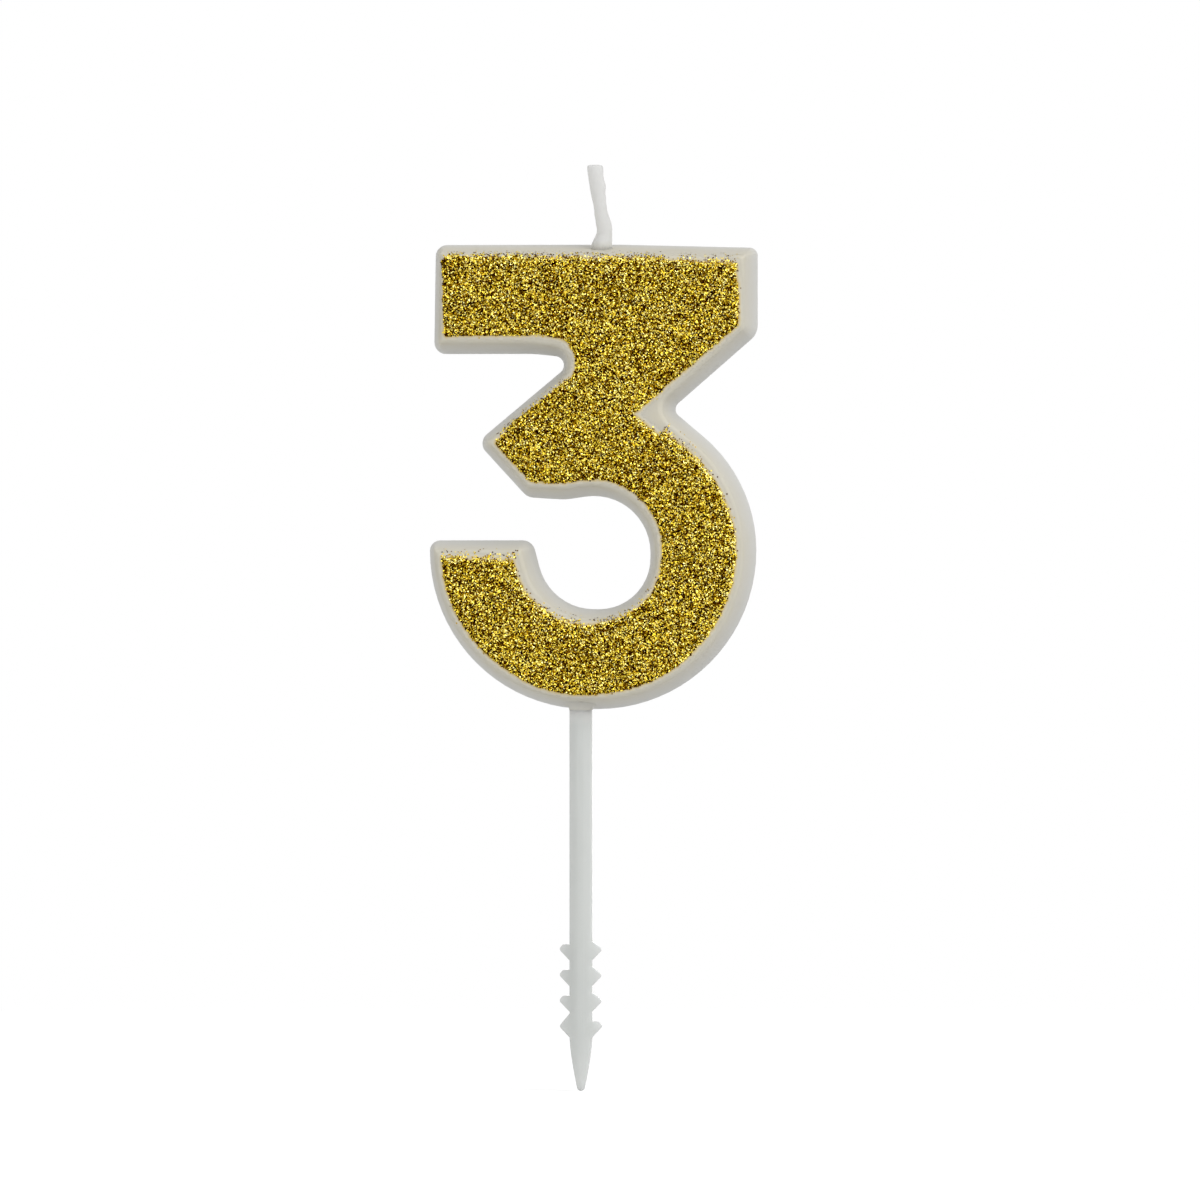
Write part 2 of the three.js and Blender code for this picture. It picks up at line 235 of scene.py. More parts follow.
def finish(name, plain, pattern):
    """A material: its shader's plain values, and the sockets that a pattern drives."""
    material = bpy.data.materials.new(name)
    material.use_nodes = True
    shader = material.node_tree.nodes["Principled BSDF"]
    for socket, value in plain.items():
        shader.inputs[socket].default_value = value
    place = Socket(material.node_tree).node("TexCoord", output="Object")
    for socket, value in pattern(place).items():
        material.node_tree.links.new(value.output, shader.inputs[socket])
    return material


def grain(place, per_mm, detail=2):
    """Soft noise from 0 to 1, with so many waves in a millimetre."""
    sizes = {"Vector": place, "Scale": per_mm / MM, "Detail": detail, "Roughness": 0.5}
    return place.node("TexNoise", {}, sizes, output=0)


def between(factor, first, second):
    """A colour between two, by a factor from 0 to 1. Each is a socket or a colour on a screen."""
    colours = {0: factor}
    for socket, colour in ((6, first), (7, second)):
        colours[socket] = colour if isinstance(colour, Socket) else (*screen_colour(*colour), 1)
    return factor.node("Mix", {"data_type": "RGBA"}, colours, output=2)


def span(value, start, end):
    """A value's share of the way from a start to an end, kept from 0 to 1."""
    ends = {"Value": value, "From Min": start, "From Max": end}
    return value.node("MapRange", {}, ends)


def relief(height, depth):
    """A normal that a height from 0 to 1 bends, for a relief that deep."""
    return height.node("Bump", {}, {"Height": height, "Distance": depth, "Strength": 1})


def made(name, shape, material, replaced, sharp_above):
    """An object of a shape, which rides on the candle's one body."""
    mesh = bpy.data.meshes.new(name)
    shape.to_mesh(mesh)
    shape.free()
    mesh.materials.append(material)
    for polygon in mesh.polygons:
        polygon.use_smooth = True
    mesh.set_sharp_from_angle(angle=math.radians(sharp_above))
    thing = bpy.data.objects.new(name, mesh)
    bpy.context.scene.collection.objects.link(thing)
    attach(thing, "root")
    if replaced:
        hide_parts(*replaced)
    return thing


def pick_pattern(place):
    """Cloudy plastic with flow streaks. Just under the numeral it is painted paler, to cancel the
    shade there.
    """
    cloud = grain(place, per_mm=0.12)
    flow = place.node("Mapping", {}, {"Vector": place, "Scale": PICK_STREAKS})
    streak = grain(flow, per_mm=1.6)
    plain = between(cloud, PICK_DARKEST, PICK_PALEST)
    height = place.node("SeparateXYZ", {}, {0: place}, output="Z")
    lit_near_numeral = span(height, -PICK_LIT_WITHIN, 0.0)
    return {
        "Base Color": between(lit_near_numeral, plain, PICK_LIT_NEAR_NUMERAL),
        "Roughness": 0.4 + 0.1 * streak,
        "Normal": relief(streak, PICK_RELIEF),
    }


PICK_SHADE = {
    "Subsurface Weight": 1.0,
    "Subsurface Radius": (1, 0.97, 0.94),
    "Subsurface Scale": 6.0 * MM,
    "IOR": 1.49,
}
white_plastic = finish("white_plastic", PICK_SHADE, pick_pattern)

pick_shape = copy_of("cake_pick")
pick = made(
    "cake_pick_moulding", pick_shape, white_plastic, ["cake_pick"], PICK_SHARP
)
eased = pick.modifiers.new("eased_edges", "BEVEL")
eased.width = PICK_EDGE
eased.segments = 2
eased.limit_method = "ANGLE"
eased.angle_limit = math.radians(PICK_SHARP)
eased.harden_normals = True


# Wick: braided cotton, dipped in wax, so that the braid only shows as a soft relief with a few
# lumps. Its core stands in the wax, and its free end leans to the left and straightens again. The
# wax of the casting climbed its base as it set, and is one skin with the wax of the dip.
MOULD_DRAFT = math.tan(math.radians(9.5))
WICK_RADIUS = 1.1 * MM
WICK_CORE_RADIUS = 0.7 * MM
WICK_FLAT = 0.13
WICK_FLAT_OVER = 3.2 * MM
WICK_HALF_TURN = 13.6 * MM
WICK_LEAN_LOW = math.radians(13.5)
WICK_LEAN_HIGH = math.radians(3.8)
WICK_X = 3.52 * MM
WICK_SHIFT = 0.05 * MM
WICK_UPRIGHT = 0.6 * MM
WICK_END_RADIUS = 0.45 * MM
WICK_SIDES = 48
WICK_STEP = 0.08 * MM
BRAID_PLAITS = 3
BRAID_PITCH = 2.6 * MM
BRAID_RELIEF = 0.022 * MM
BRAID_FADE = 0.8 * MM
LUMP_SIZE = 1.5 * MM
LUMP_RELIEF = 0.07 * MM
# Lumps on the right side of the wick: height, length and rise, in millimetres.
SIDE_LUMPS = ((78.5, 0.7, 0.24), (76.9, 1.7, 0.14), (72.9, 1.1, 0.18))
FOOT_NECK = 1.16 * MM
FOOT_SPREAD = 0.39 * MM
FOOT_TAPER = 1.6 * MM
FOOT_SLOPE = 0.15
FOOT_ROOT = 0.5 * MM
FOOT_FLARE = 0.04 * MM
FOOT_FLARE_HEIGHT = 0.25 * MM
FOOT_LUMPS = 0.03 * MM
FOOT_BLEND = 0.03 * MM
FOOT_LIT_WITHIN = 1.5 * MM
FOOT_TINTED = 0.6 * MM
DIPPED_DARKEST = (190, 190, 187)
DIPPED_PALEST = (195, 195, 192)
# Paler colour painted on the foot near the bar, as painted light that hides the shade round its
# base.
FOOT_LIT_NEAR_BAR = (237, 236, 232)
FOOT_ON_BAR = (216, 211, 195)
FIBRE_STRETCH = (1, 1, 0.3)
FIBRE_RELIEF = 0.02 * MM

numeral_low, numeral_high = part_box("wax_numeral")
wick_low, wick_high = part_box("wick")
foot_top = numeral_high.z
bar_top = foot_top - FOOT_TAPER
wick_bend = foot_top + WICK_UPRIGHT
wick_free = wick_high.z - wick_bend


def wick_middle(z):
    """Where the wick's middle is, across the numeral, at a height."""
    above = max(0, z - wick_bend)
    low = math.tan(WICK_LEAN_LOW)
    here = low + (math.tan(WICK_LEAN_HIGH) - low) * above / wick_free
    return WICK_X + WICK_SHIFT * min(1, above / BRAID_FADE) - above * (low + here) / 2


def wick_radius(angle, z):
    """The radius of the wick, which is a little flat and twists as it rises."""
    above = max(0, z - wick_bend)
    flat = WICK_FLAT * min(1, above / WICK_FLAT_OVER)
    turned = angle - math.pi * (above - wick_free) / WICK_HALF_TURN
    radius = WICK_RADIUS / math.sqrt(
        (math.cos(turned) / (1 + flat)) ** 2 + (math.sin(turned) / (1 - flat)) ** 2
    )
    wave = math.tau * z / BRAID_PITCH
    braid = math.sin(BRAID_PLAITS * angle + wave) * math.sin(BRAID_PLAITS * angle - wave)
    place = Vector((math.cos(angle) * WICK_RADIUS, math.sin(angle) * WICK_RADIUS, z))
    lumps = LUMP_RELIEF * noise.noise(place / LUMP_SIZE)
    radius += min(1, above / BRAID_FADE) * (BRAID_RELIEF * braid + lumps)
    for lump_z, length, rise in SIDE_LUMPS:
        near = math.exp(-(((z / MM - lump_z) / length) ** 2))
        radius += rise * MM * near * max(0, math.cos(angle)) ** 2
    to_end = max(0, z - (wick_high.z - WICK_END_RADIUS)) / WICK_END_RADIUS
    return radius - WICK_END_RADIUS * (1 - math.sqrt(max(0, 1 - to_end**2)))


def wick_point(angle, share):
    """A point on the skin of the wick and its foot, at an angle and a share of the way up."""
    across = Vector((math.cos(angle), math.sin(angle), 0))
    to_back = numeral_high.y - across.y * (FOOT_NECK + FOOT_SPREAD)
    ground = bar_top - to_back * MOULD_DRAFT
    root = ground - FOOT_ROOT
    z = root + (wick_high.z - root) * share
    spread = FOOT_SPREAD * min(1, max(0, foot_top - z) / FOOT_TAPER)
    foot = FOOT_NECK + spread - FOOT_SLOPE * max(0, z - foot_top)
    foot += FOOT_FLARE * math.exp(-max(0, z - ground) / FOOT_FLARE_HEIGHT)
    foot += FOOT_LUMPS * noise.noise((across * foot + Vector((0, 0, z))) / LUMP_SIZE)
    wick = wick_radius(angle, z)
    radius = (wick + foot) / 2 + math.hypot((wick - foot) / 2, FOOT_BLEND)
    return across * radius + Vector((wick_middle(z) - spread, 0, z))


def wick_pattern(place):
    """Waxed cotton. The foot is painted paler by the bar to hide its shade, and takes the bar's
    tint.
    """
    fibres = place.node("Mapping", {}, {"Vector": place, "Scale": FIBRE_STRETCH})
    fine = grain(fibres, per_mm=5, detail=3)
    dipped = between(grain(place, per_mm=0.5), DIPPED_DARKEST, DIPPED_PALEST)
    height = place.node("SeparateXYZ", {}, {0: place}, output="Z")
    lit_near_bar = span(height, bar_top + FOOT_LIT_WITHIN, bar_top - FOOT_LIT_WITHIN)
    on_bar = span(height, bar_top + FOOT_TINTED, bar_top - FOOT_TINTED)
    clear = between(lit_near_bar, dipped, FOOT_LIT_NEAR_BAR)
    return {
        "Base Color": between(on_bar, clear, FOOT_ON_BAR),
        "Roughness": 0.5 + 0.2 * fine,
        "Normal": relief(fine, FIBRE_RELIEF),
    }


WICK_SHADE = {
    "Subsurface Weight": 1.0,
    "Subsurface Radius": (1, 0.97, 0.94),
    "Subsurface Scale": 12.0 * MM,
}
waxed_cotton = finish("waxed_cotton", WICK_SHADE, wick_pattern)

wick_shape = bmesh.new()
wick_rings = round((wick_high.z - bar_top) / WICK_STEP)
bmesh.ops.create_grid(wick_shape, x_segments=WICK_SIDES, y_segments=wick_rings, size=0.5)
for vertex in wick_shape.verts:
    vertex.co = wick_point((vertex.co.x + 0.5) * math.tau, vertex.co.y + 0.5)
bmesh.ops.remove_doubles(wick_shape, verts=wick_shape.verts, dist=MERGE)
low_rim = [e for e in wick_shape.edges if e.is_boundary and e.verts[0].co.z < foot_top]
grown = bmesh.ops.extrude_edge_only(wick_shape, edges=low_rim)["geom"]
core_rim = [part for part in grown if isinstance(part, bmesh.types.BMEdge) and part.is_boundary]
for vertex in {vertex for edge in core_rim for vertex in edge.verts}:
    across = Vector((vertex.co.x - WICK_X, vertex.co.y, 0)).normalized()
    vertex.co = Vector((WICK_X, 0, vertex.co.z)) + across * WICK_CORE_RADIUS
grown = bmesh.ops.extrude_edge_only(wick_shape, edges=core_rim)["geom"]
core_end = [part for part in grown if isinstance(part, bmesh.types.BMVert)]
for vertex in core_end:
    vertex.co.z = wick_low.z
bmesh.ops.holes_fill(wick_shape, edges=[e for e in wick_shape.edges if e.is_boundary], sides=0)
bmesh.ops.recalc_face_normals(wick_shape, faces=wick_shape.faces)
made("wick_braid", wick_shape, waxed_cotton, ["wick"], sharp_above=60)


# Wax numeral: off-white paraffin wax, poured into an open mould round the wick and the pick. Its
# walls slope out to the flat back, and towards the face they are painted warm with light that the
# gold throws on them. The back set in the open air, and has a few pinholes where bubbles came up.
WAX_DARKEST = (207, 207, 204)
WAX_PALEST = (210, 210, 207)
# Paler colour painted on the wax round the wick's foot, as painted light that hides the shade and
# the foot's shadow there.
WAX_LIT_BY_WICK = (232, 231, 226)
# Warm colour painted towards the face, as light bounced from the gold, and on the top of the bar as
# dust as well.
WAX_GOLD_BOUNCE_AND_DUST = (206, 201, 185)
GOLD_BOUNCE_AT_FACE = 0.7
GOLD_BOUNCE_RIPPLE = 0.5
WARM_DUST = 0.9
DUST_FROM = 2.0 * MM
DUST_FULL = 0.8 * MM
WICK_LIT_WITHIN = 3.2 * MM
WAX_RELIEF = 0.05 * MM
PIT_SPACING = 7.0 * MM
PIT_SIZES = (0.02, 0.06)
PIT_DEPTH = 2
# Darker colour painted in the pinholes, as painted shade in them.
PIT_PAINTED_SHADE = (184, 183, 177)
BACK_SKIN = 0.2 * MM


def wax_colour(place):
    """The wax at a place: cloudy, with painted gold light by the face, dust on the bar, painted
    light by the wick.
    """
    cloudy = between(grain(place, per_mm=0.11, detail=3), WAX_DARKEST, WAX_PALEST)
    foot = (WICK_X - FOOT_SPREAD, 0.0, bar_top)
    from_foot = place.node("VectorMath", {"operation": "DISTANCE"}, {0: place, 1: foot}, "Value")
    lit_near_foot = span(from_foot, WICK_LIT_WITHIN, FOOT_NECK)
    plain = between(lit_near_foot, cloudy, WAX_LIT_BY_WICK)
    depth = place.node("SeparateXYZ", {}, {0: place}, output="Y")
    height = place.node("SeparateXYZ", {}, {0: place}, output="Z")
    near_face = span(depth, numeral_high.y, numeral_low.y)
    dusted = span(height, bar_top - DUST_FROM, bar_top - DUST_FULL)
    ripple = grain(place, per_mm=0.35)
    gold_bounce_and_dust = near_face * (GOLD_BOUNCE_AT_FACE + GOLD_BOUNCE_RIPPLE * ripple + WARM_DUST * dusted)
    return between(gold_bounce_and_dust.clamped(), plain, WAX_GOLD_BOUNCE_AND_DUST)


def wax_pattern(place):
    """Soft ripples and a finer skin all over, and pinholes on the back alone, painted darker as
    shade.
    """
    ripple = grain(place, per_mm=0.35)
    skin = grain(place, per_mm=2.2, detail=3)
    spots = {"Vector": place, "Scale": 1 / PIT_SPACING}
    from_pit = place.node("TexVoronoi", {}, spots, output="Distance")
    depth = place.node("SeparateXYZ", {}, {0: place}, output="Y")
    on_back = span(depth, numeral_high.y - BACK_SKIN, numeral_high.y)
    pits = span(from_pit, PIT_SIZES[1], PIT_SIZES[0]) * on_back
    return {
        "Base Color": between(pits, wax_colour(place), PIT_PAINTED_SHADE),
        "Roughness": 0.5 + 0.2 * skin,
        "Normal": relief(0.75 * ripple + 0.25 * skin - PIT_DEPTH * pits, WAX_RELIEF),
    }


WAX_SHADE = {
    "Subsurface Weight": 0.4,
    "Subsurface Radius": (1, 0.96, 0.9),
    "Subsurface Scale": 2.5 * MM,
    "IOR": 1.44,
    "Specular IOR Level": 0.3,
}
cast_wax = finish("cast_wax", WAX_SHADE, wax_pattern)

wax_shape = copy_of("wax_numeral")
wax_surface = BVHTree.FromBMesh(wax_shape)
wax = made("wax_numeral_casting", wax_shape, cast_wax, ["wax_numeral"], sharp_above=30)
even = wax.modifiers.new("even_faces", "WEIGHTED_NORMAL")
even.keep_sharp = True


# Wax collar: the wax that has set round the stem where it leaves the mould. It fills the slope of
# the underside down to the level of the numeral's lowest edge, and flares into the underside.
COLLAR_FLOOR = -0.12 * MM
COLLAR_ROOT = 0.15 * MM
COLLAR_FIT = 1.02
COLLAR_FLARE = 0.5
COLLAR_CURVE = 2.0
COLLAR_STEPS = 8
COLLAR_CUTS = 3
COLLAR_DARKEST = (206, 204, 195)
COLLAR_PALEST = (209, 207, 199)
COLLAR_RELIEF = 0.03 * MM


def thin_wax_pattern(place):
    """The thin wax of the collar: as cloudy as the underside, but it lets no light far in."""
    cloud = grain(place, per_mm=0.4)
    return {
        "Base Color": between(cloud, COLLAR_DARKEST, COLLAR_PALEST),
        "Roughness": 0.55 + 0.15 * cloud,
        "Normal": relief(cloud, COLLAR_RELIEF),
    }


thin_wax = finish("thin_wax", {"IOR": 1.44, "Specular IOR Level": 0.3}, thin_wax_pattern)

collar = copy_of("cake_pick")
cut = bmesh.ops.bisect_plane(
    collar,
    geom=collar.verts[:] + collar.edges[:] + collar.faces[:],
    plane_co=(0, 0, 0),
    plane_no=(0, 0, 1),
    clear_inner=True,
    clear_outer=True,
)
ring_edges = [part for part in cut["geom_cut"] if isinstance(part, bmesh.types.BMEdge)]
bmesh.ops.subdivide_edges(collar, edges=ring_edges, cuts=COLLAR_CUTS)
ring = collar.verts[:]
ring_edges = collar.edges[:]
bmesh.ops.edgeloop_fill(collar, edges=ring_edges)
girth = 1
for step in range(COLLAR_STEPS + 1):
    share = step / COLLAR_STEPS
    wider = (COLLAR_FIT + COLLAR_FLARE * share**COLLAR_CURVE) / girth
    bmesh.ops.scale(collar, verts=ring, vec=(wider, wider, 1))
    girth *= wider
    for vertex in ring:
        underside = (numeral_high.y - vertex.co.y) * MOULD_DRAFT
        vertex.co.z = COLLAR_FLOOR + (underside + COLLAR_ROOT - COLLAR_FLOOR) * share
    if step < COLLAR_STEPS:
        grown = bmesh.ops.extrude_edge_only(collar, edges=ring_edges)["geom"]
        ring = [part for part in grown if isinstance(part, bmesh.types.BMVert)]
        edges = [part for part in grown if isinstance(part, bmesh.types.BMEdge)]
        ring_edges = [edge for edge in edges if edge.is_boundary]
bmesh.ops.holes_fill(collar, edges=ring_edges, sides=0)
bmesh.ops.recalc_face_normals(collar, faces=collar.faces)
made("wax_collar", collar, thin_wax, replaced=(), sharp_above=40)


# Glue: a thin film, stamped on the front face before the glitter is shaken over it. It has run over
# the edge of the face in some places, and stops short of it in others. It has dried clear, and
# beside the glitter it is painted with the warm light that the gold throws on the wax.
FILM_THICK = 0.1 * MM
FILM_EDGE = 0.02 * MM
FILM_STEP = 0.3 * MM
FILM_MARGIN = 0.55 * MM
FILM_LIMIT = 0.62 * MM
GOLD_BOUNCE_LENGTH = 0.45 * MM
SHEET_SPARE = 0.9 * MM
DEEPEST = 3.6 * MM
RIM_STEP = 0.1 * MM
FACING_FRONT = -0.9
RAGGED = 0.2 * MM
RAGGED_WAVE = 0.8 * MM
THIN_UP = 0.4 * MM
THIN_MEAN = 0.8
THIN_WAVE = 3.5 * MM
THIN_SEED = 5
# Gold colour painted on the glue beside the glitter, as light bounced from the gold onto the wax.
GOLD_BOUNCE_DARKEST = (199, 175, 98)
GOLD_BOUNCE_PALEST = (206, 184, 118)
GLUE_RELIEF = 0.02 * MM
# How far the glue runs over the edge of the face, or below 0 stops short of it: the place across
# and up the numeral, the reach there, and how far along the edge it goes on, in millimetres.
GLUE_REACH = (
    ("bar, left end", -20.5, 62, 0.35, 4),
    ("bar, underside", -14, 56, -0.4, 4),
    ("bar, underside by the notch", -4, 55.5, -0.65, 3),
    ("upper notch", -1, 52.5, -0.35, 2.5),
    ("arm, upper edge", -6, 47, 0.7, 5),
    ("arm, upper edge by the point", -12, 43.5, 0.8, 2),
    ("arm, point", -13, 40, -0.05, 2),
    ("arm, lower edge", -9, 35.5, -0.1, 3),
    ("counter, top", -2, 34.5, -0.1, 4),
    ("counter, top right", 6.5, 33.5, -0.38, 2.5),
    ("counter, right", 11.5, 28, -0.25, 4),
    ("counter, lower right", 12, 20, 0.1, 3),
    ("counter, foot", 6, 13.5, 0.4, 3.5),
    ("counter, lower left", -4, 13.5, -0.1, 4),
    ("terminal, right", -9, 19, -0.55, 3),
    ("terminal, top", -15, 23, -0.4, 4),
    ("bowl, left", -20, 20, -0.15, 4),
    ("bowl, lower left", -15, 8.5, -0.25, 5),
    ("bowl, foot", -2, 2, 0.1, 4),
    ("bowl, lower right", 10, 3.5, -0.15, 5),
    ("bowl, right", 23, 18, -0.22, 7),
    ("bowl, upper right", 18, 34, -0.4, 4),
    ("right notch, above", 13.5, 48, -0.4, 2),
    ("bar, shoulder", 19, 54, -0.22, 4),
    ("bar, right end", 24, 61, 0.0, 3),
    ("bar, right end above", 24.5, 66, -0.35, 2),
    ("bar, top right", 18, 67.6, 0.0, 3),
    ("bar, top beside the wick", 11, 67.6, 0.25, 3),
    ("bar, top by the wick", 5.5, 67.6, 0.1, 2.5),
    ("bar, top", -1, 67.6, 0.42, 4),
    ("bar, top left", -12, 67.6, 0.68, 5),
    ("bar, top left end", -18, 67.6, 0.85, 3),
)
# In the right notch the glue has a sharp corner, where the edge of the face is round: its tip, and
# across each of its two sides, the way into the notch.
NOTCH_TIP = Vector((8.3, 0, 44.2)) * MM
NOTCH_INTO = (Vector((0.643, 0, -0.766)), Vector((0.629, 0, 0.777)))
NOTCH_LENGTH = 5 * MM
LEAST_WEIGHT = 1e-9
chance = random.Random(3)

coat = copy_of("glitter_coat")
coat_low, coat_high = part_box("glitter_coat")
front_faces = {f for f in coat.faces if f.normal.y < FACING_FRONT}
rim_places = []
rim_outwards = []
for edge in coat.edges:
    inner = [f for f in edge.link_faces if f in front_faces]
    if len(inner) != 1:
        continue
    loop = next(l for l in inner[0].loops if l.edge == edge)
    first, last = loop.vert.co, loop.link_loop_next.vert.co
    outwards = (last - first).cross(inner[0].normal).normalized()
    steps = max(1, round((last - first).length / RIM_STEP))
    for step in range(steps):
        rim_places.append(first.lerp(last, (step + 0.5) / steps))
        rim_outwards.append(outwards)
coat.free()
rim = kdtree.KDTree(len(rim_places))
for number, place in enumerate(rim_places):
    rim.insert((place.x, 0, place.z), number)
rim.balance()


def beyond_rim(x, z):
    """How far a place lies outside the coat's rim, below 0 inside, and which way that faces."""
    nearest, number, distance = rim.find((x, 0, z))
    outwards = rim_outwards[number]
    side = (Vector((x, 0, z)) - nearest).dot(outwards)
    return math.copysign(distance, side), outwards


def waves(x, z, size, seed=0):
    """Soft noise from about -1 to 1 over the face."""
    return noise.noise(Vector((x / size, seed, z / size)))


def glue_reach(x, z, away):
    """How far the glue reaches beyond the rim at a place: the places that are set, blended."""
    total, weighed = LEAST_WEIGHT, 0
    for _, place_x, place_z, place_reach, length in GLUE_REACH:
        lengths = math.hypot(x - place_x * MM, z - place_z * MM) / (length * MM)
        weight = math.exp(-(lengths**2))
        total += weight
        weighed += weight * place_reach * MM
    reach = weighed / total
    from_tip = Vector((x, 0, z)) - NOTCH_TIP
    if from_tip.length < NOTCH_LENGTH:
        reach = min(reach, away - min(from_tip.dot(into) for into in NOTCH_INTO))
    return reach + RAGGED * waves(x, z, RAGGED_WAVE)


def glitter_reach(x, z, away, outwards):
    """How far the close glitter reaches beyond the rim. It thins out where the rim faces up."""
    thinned = max(0, outwards.z) * THIN_UP * (THIN_MEAN + waves(x, z, THIN_WAVE, THIN_SEED))
    return glue_reach(x, z, away) - thinned


def film_reach(x, z, away, outwards):
    """How far the film reaches beyond the rim. It ends before the wall of the numeral."""
    return min(FILM_LIMIT, glue_reach(x, z, away) + FILM_MARGIN)


def inside_edge(place, reach):
    """How far inside a sheet's edge a place lies, below 0 outside, and which way that faces."""
    away, outwards = beyond_rim(place.x, place.z)
    if away < -DEEPEST:
        return DEEPEST, outwards
    return reach(place.x, place.z, away, outwards) - away, outwards


def pinched(shape):
    """Vertices where two parts of a sheet meet at a point only."""
    return [v for v in shape.verts if sum(e.is_boundary for e in v.link_edges) > 2]


def face_sheet(step, jitter, reach):
    """A sheet of small triangles over the front face, cut off where it reaches no farther."""
    wide = coat_high.x - coat_low.x + 2 * SHEET_SPARE
    high = coat_high.z - coat_low.z + 2 * SHEET_SPARE
    centre = Matrix.Translation(((coat_low.x + coat_high.x) / 2, 0, (coat_low.z + coat_high.z) / 2))
    upright = Matrix.Rotation(math.pi / 2, 4, "X")
    shape = bmesh.new()
    bmesh.ops.create_grid(
        shape,
        x_segments=round(wide / step),
        y_segments=round(high / step),
        size=0.5,
        matrix=centre @ upright @ Matrix.Diagonal((wide, high, 1, 1)),
    )
    for vertex in shape.verts:
        vertex.co.x += chance.uniform(-jitter, jitter)
        vertex.co.z += chance.uniform(-jitter, jitter)
    bmesh.ops.triangulate(shape, faces=shape.faces)
    outside = []
    for face in shape.faces:
        if inside_edge(face.calc_center_median(), reach)[0] < 0:
            outside.append(face)
    bmesh.ops.delete(shape, geom=outside, context="FACES")
    while pinched(shape):
        around = {f for v in pinched(shape) for f in v.link_faces}
        bmesh.ops.delete(shape, geom=list(around), context="FACES")
    return shape


def ground_at(surface, x, z):
    """The place and normal of a surface behind a place on the face."""
    start = Vector((x, 2 * numeral_low.y, z))
    place, normal, _, _ = surface.ray_cast(start, Vector((0, 1, 0)))
    return place, normal


def laid_on_wax(shape, sunk, thickness):
    """Lays a sheet on the wax, sunk a little, and gives it a thickness at each vertex."""
    for vertex in shape.verts:
        place, _ = ground_at(wax_surface, vertex.co.x, vertex.co.z)
        vertex.co.y = place.y + sunk
    front = bmesh.ops.extrude_face_region(shape, geom=shape.faces[:])["geom"]
    for part in front:
        if isinstance(part, bmesh.types.BMVert):
            part.co.y -= sunk + thickness(part)
    bmesh.ops.recalc_face_normals(shape, faces=shape.faces)


film = face_sheet(FILM_STEP, 0, film_reach)
# The share of painted gold light at each vertex, which also sets the film's thickness.
gold_bounce_layer = film.verts.layers.float.new("tint")
for vertex in film.verts:
    in_film, _ = inside_edge(vertex.co, film_reach)
    in_glitter, _ = inside_edge(vertex.co, glitter_reach)
    to_edge = (in_film - FILM_STEP / 2) / (FILM_MARGIN / 2)
    vertex[gold_bounce_layer] = math.exp(min(0, in_glitter) / GOLD_BOUNCE_LENGTH) * max(0, min(1, to_edge))
laid_on_wax(film, FILM_EDGE, lambda v: FILM_EDGE + (FILM_THICK - FILM_EDGE) * v[gold_bounce_layer])
film_surface = BVHTree.FromBMesh(film)


def glue_pattern(place):
    """Clear glue over the wax, painted warm with light bounced from the gold where the flakes lie
    close.
    """
    tint = place.node("Attribute", {"attribute_name": "tint"}, output="Fac")
    cloud = grain(place, per_mm=0.4)
    bounce_colour = between(cloud, GOLD_BOUNCE_DARKEST, GOLD_BOUNCE_PALEST)
    return {
        "Base Color": between(tint, wax_colour(place), bounce_colour),
        "Roughness": 0.4 + 0.15 * cloud,
        "Normal": relief(cloud, GLUE_RELIEF),
    }


dried_glue = finish("dried_glue", {"IOR": 1.48}, glue_pattern)
made("glue_film", film, dried_glue, ["adhesive_film"], sharp_above=30)


# Glitter bed: the flakes that lie in the glue, so close that they make one rough metallic crust.
# Its edge is ragged, and it thins out where the edge of the numeral faces up. Along the edges that
# face up and to the right, towards the key lamp, the facets are painted brighter as painted light.
FLAKE = 0.19 * MM
FLAKE_JITTER = 0.35
BED_DEPTH = 0.17 * MM
BED_ROUGH = 0.12 * MM
BED_SUNK = 0.01 * MM
# Facets by the edges that face up and to the right are painted brighter, as painted light.
EDGE_PAINTED_LIGHT = 0.14
EDGE_LIGHT_LENGTH = 0.3 * MM
EDGE_THIN = 0.4 * MM
EDGE_LEAST = 0.25
# A facet's colour by its tone: painted shade for flakes in shade, painted glints for those in
# light.
SHADE_TO_GLINT_TONES = (
    (0.0, (8, 1, 0)),
    (0.35, (46, 14, 0)),
    (0.51, (102, 66, 0)),
    (0.65, (172, 139, 20)),
    (0.79, (240, 213, 64)),
    (0.9, (252, 232, 108)),
    (1.0, (255, 246, 164)),
)


def glitter_pattern(place):
    """Gold metal film. Each facet has a tone of its own, which paints it as shaded or glinting."""
    tone = place.node("Attribute", {"attribute_name": "tone"}, output="Fac")
    stops = [(step, screen_colour(*colour)) for step, colour in SHADE_TO_GLINT_TONES]
    return {
        "Base Color": place.node("ValToRGB", {"stops": stops}, {"Fac": tone}),
        "Roughness": 0.2 + 0.2 * grain(place, per_mm=6),
    }


GOLD_SHADE = {"Metallic": 1.0, "Specular Tint": (0.95, 0.8, 0.4, 1)}
gold_glitter = finish("gold_glitter", GOLD_SHADE, glitter_pattern)
bed = face_sheet(FLAKE, FLAKE_JITTER * FLAKE, glitter_reach)


def bed_thickness(vertex):
    """The glue's and the flakes' thickness together. The flakes thin out towards their edge."""
    inside, _ = inside_edge(vertex.co, glitter_reach)
    full = max(EDGE_LEAST, min(1, inside / EDGE_THIN))
    return FILM_THICK + full * (BED_DEPTH + chance.uniform(-BED_ROUGH, BED_ROUGH))


laid_on_wax(bed, BED_SUNK, bed_thickness)
tone_layer = bed.faces.layers.float.new("tone")
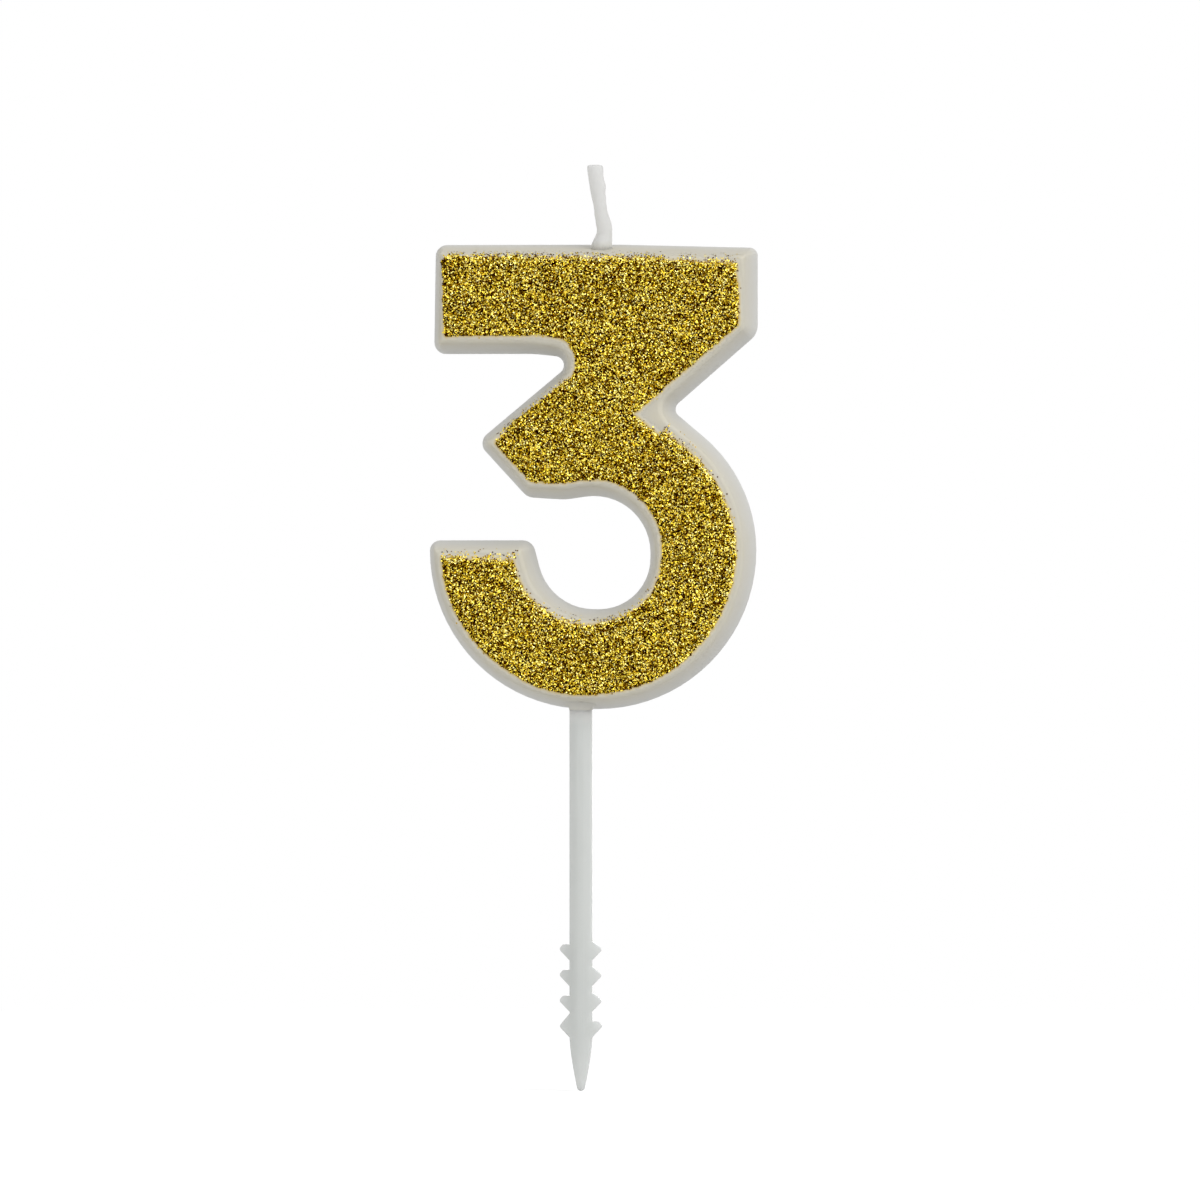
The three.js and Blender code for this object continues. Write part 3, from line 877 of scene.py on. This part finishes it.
# Blender makes the four-sided faces of the edge in another order each time, so they are sorted.
bed.verts.index_update()
facets = [f for f in bed.faces if len(f.verts) == 3]
edge_faces = [f for f in bed.faces if len(f.verts) == 4]
edge_faces.sort(key=lambda f: sorted(v.index for v in f.verts))
for face in facets + edge_faces:
    inside, outwards = inside_edge(face.calc_center_median(), glitter_reach)
    # Painted light: facets near edges that face up and to the right get a brighter tone.
    lift = EDGE_PAINTED_LIGHT * (outwards.x + outwards.z) * math.exp(-max(0, inside) / EDGE_LIGHT_LENGTH)
    face[tone_layer] = chance.random() + lift
bed_ground = BVHTree.FromBMesh(bed)
made("glitter_bed", bed, gold_glitter, ["glitter_coat"], sharp_above=0)


# Loose flakes: six-sided cuts of metallised film that lie on the crust at all angles, and on the
# bare glue and wax beside it, most of all above the edges that face up, where they fell.
FLAKE_WIDTHS = (0.15 * MM, 0.26 * MM)
STRAY_WIDTHS = (0.12 * MM, 0.26 * MM)
FLAKE_THICK = 0.018 * MM
FLAKE_SIDES = 6
FLAKE_DOUBLINGS = 13
FLAKE_TILT = 24
FLAKE_RAISED = (0.01 * MM, 0.07 * MM)
STRAY_DOUBLINGS = 11
STRAY_TILT = 8
STRAY_OVERLAP = 0.05 * MM
STRAY_SPREAD = 0.1 * MM
STRAY_SPREAD_UP = 0.4 * MM
STRAY_LIMIT = 1.25 * MM
STRAY_DEPTH = 3.3 * MM
STRAY_LEAST = 0.08
STRAY_MEAN = 0.7
STRAY_TONES = (0.3, 0.95)


def flake_matrix(place, normal, tilt, widths):
    """Where a flake lies: flat on a surface, but for a random turn and tilt."""
    wide = chance.uniform(*widths)
    lying = normal.to_track_quat("Z", "Y").to_matrix().to_4x4()
    turned = Matrix.Rotation(chance.uniform(0, math.tau), 4, "Z")
    leaning = Matrix.Rotation(math.radians(chance.gauss(0, tilt)), 4, "X")
    spun = Matrix.Rotation(chance.uniform(0, math.tau), 4, "Z")
    size = Matrix.Diagonal((wide, wide, FLAKE_THICK, 1))
    return Matrix.Translation(place) @ lying @ turned @ leaning @ spun @ size


def scattered(name, doublings, flake_place, tones):
    """One piece of many flakes, copied from the first by doubling. Each has a tone: painted shade
    or glint.
    """
    shape = bmesh.new()
    bmesh.ops.create_circle(shape, cap_ends=True, segments=FLAKE_SIDES, radius=0.5)
    grown = bmesh.ops.extrude_face_region(shape, geom=shape.faces[:])["geom"]
    top = [part for part in grown if isinstance(part, bmesh.types.BMVert)]
    bmesh.ops.translate(shape, verts=top, vec=(0, 0, 1))
    bmesh.ops.recalc_face_normals(shape, faces=shape.faces)
    points = [vertex.co.copy() for vertex in shape.verts]
    sides = len(shape.faces)
    for _ in range(doublings):
        bmesh.ops.duplicate(shape, geom=shape.verts[:] + shape.edges[:] + shape.faces[:])
    tone_layer = shape.faces.layers.float.new("tone")
    vertices = iter(shape.verts)
    faces = iter(shape.faces)
    for _ in range(2**doublings):
        lies = flake_place()
        for point in points:
            next(vertices).co = lies @ point
        tone = chance.uniform(*tones)
        for _ in range(sides):
            next(faces)[tone_layer] = tone
    shape.normal_update()
    made(name, shape, gold_glitter, replaced=(), sharp_above=0)


def place_on_crust():
    """A place for a flake, anywhere on the crust."""
    while True:
        x = chance.uniform(coat_low.x - SHEET_SPARE, coat_high.x + SHEET_SPARE)
        z = chance.uniform(coat_low.z - SHEET_SPARE, coat_high.z + SHEET_SPARE)
        place, _ = ground_at(bed_ground, x, z)
        if place:
            raised = place - Vector((0, chance.uniform(*FLAKE_RAISED), 0))
            return flake_matrix(raised, Vector((0, -1, 0)), FLAKE_TILT, FLAKE_WIDTHS)


def place_beside_crust():
    """A place for a flake on the glue or wax just outside the crust."""
    while True:
        number = chance.randrange(len(rim_places))
        spot = rim_places[number] + rim_outwards[number] * chance.uniform(-STRAY_DEPTH, STRAY_LIMIT)
        inside, outwards = inside_edge(spot, glitter_reach)
        upwards = max(0, outwards.z)
        spread = STRAY_SPREAD + STRAY_SPREAD_UP * upwards
        patch = STRAY_MEAN + waves(spot.x, spot.z, THIN_WAVE / 2, THIN_SEED)
        likely = (STRAY_LEAST + upwards**2) * patch * math.exp(min(0, inside) / spread)
        if inside > STRAY_OVERLAP or chance.random() > likely:
            continue
        place, normal = ground_at(film_surface, spot.x, spot.z)
        if not place:
            place, normal = ground_at(wax_surface, spot.x, spot.z)
        if place:
            above = place + normal * 2 * FLAKE_THICK
            return flake_matrix(above, normal, STRAY_TILT, STRAY_WIDTHS)


scattered("glitter_flakes", FLAKE_DOUBLINGS, place_on_crust, (0, 1))
scattered("stray_flakes", STRAY_DOUBLINGS, place_beside_crust, STRAY_TONES)
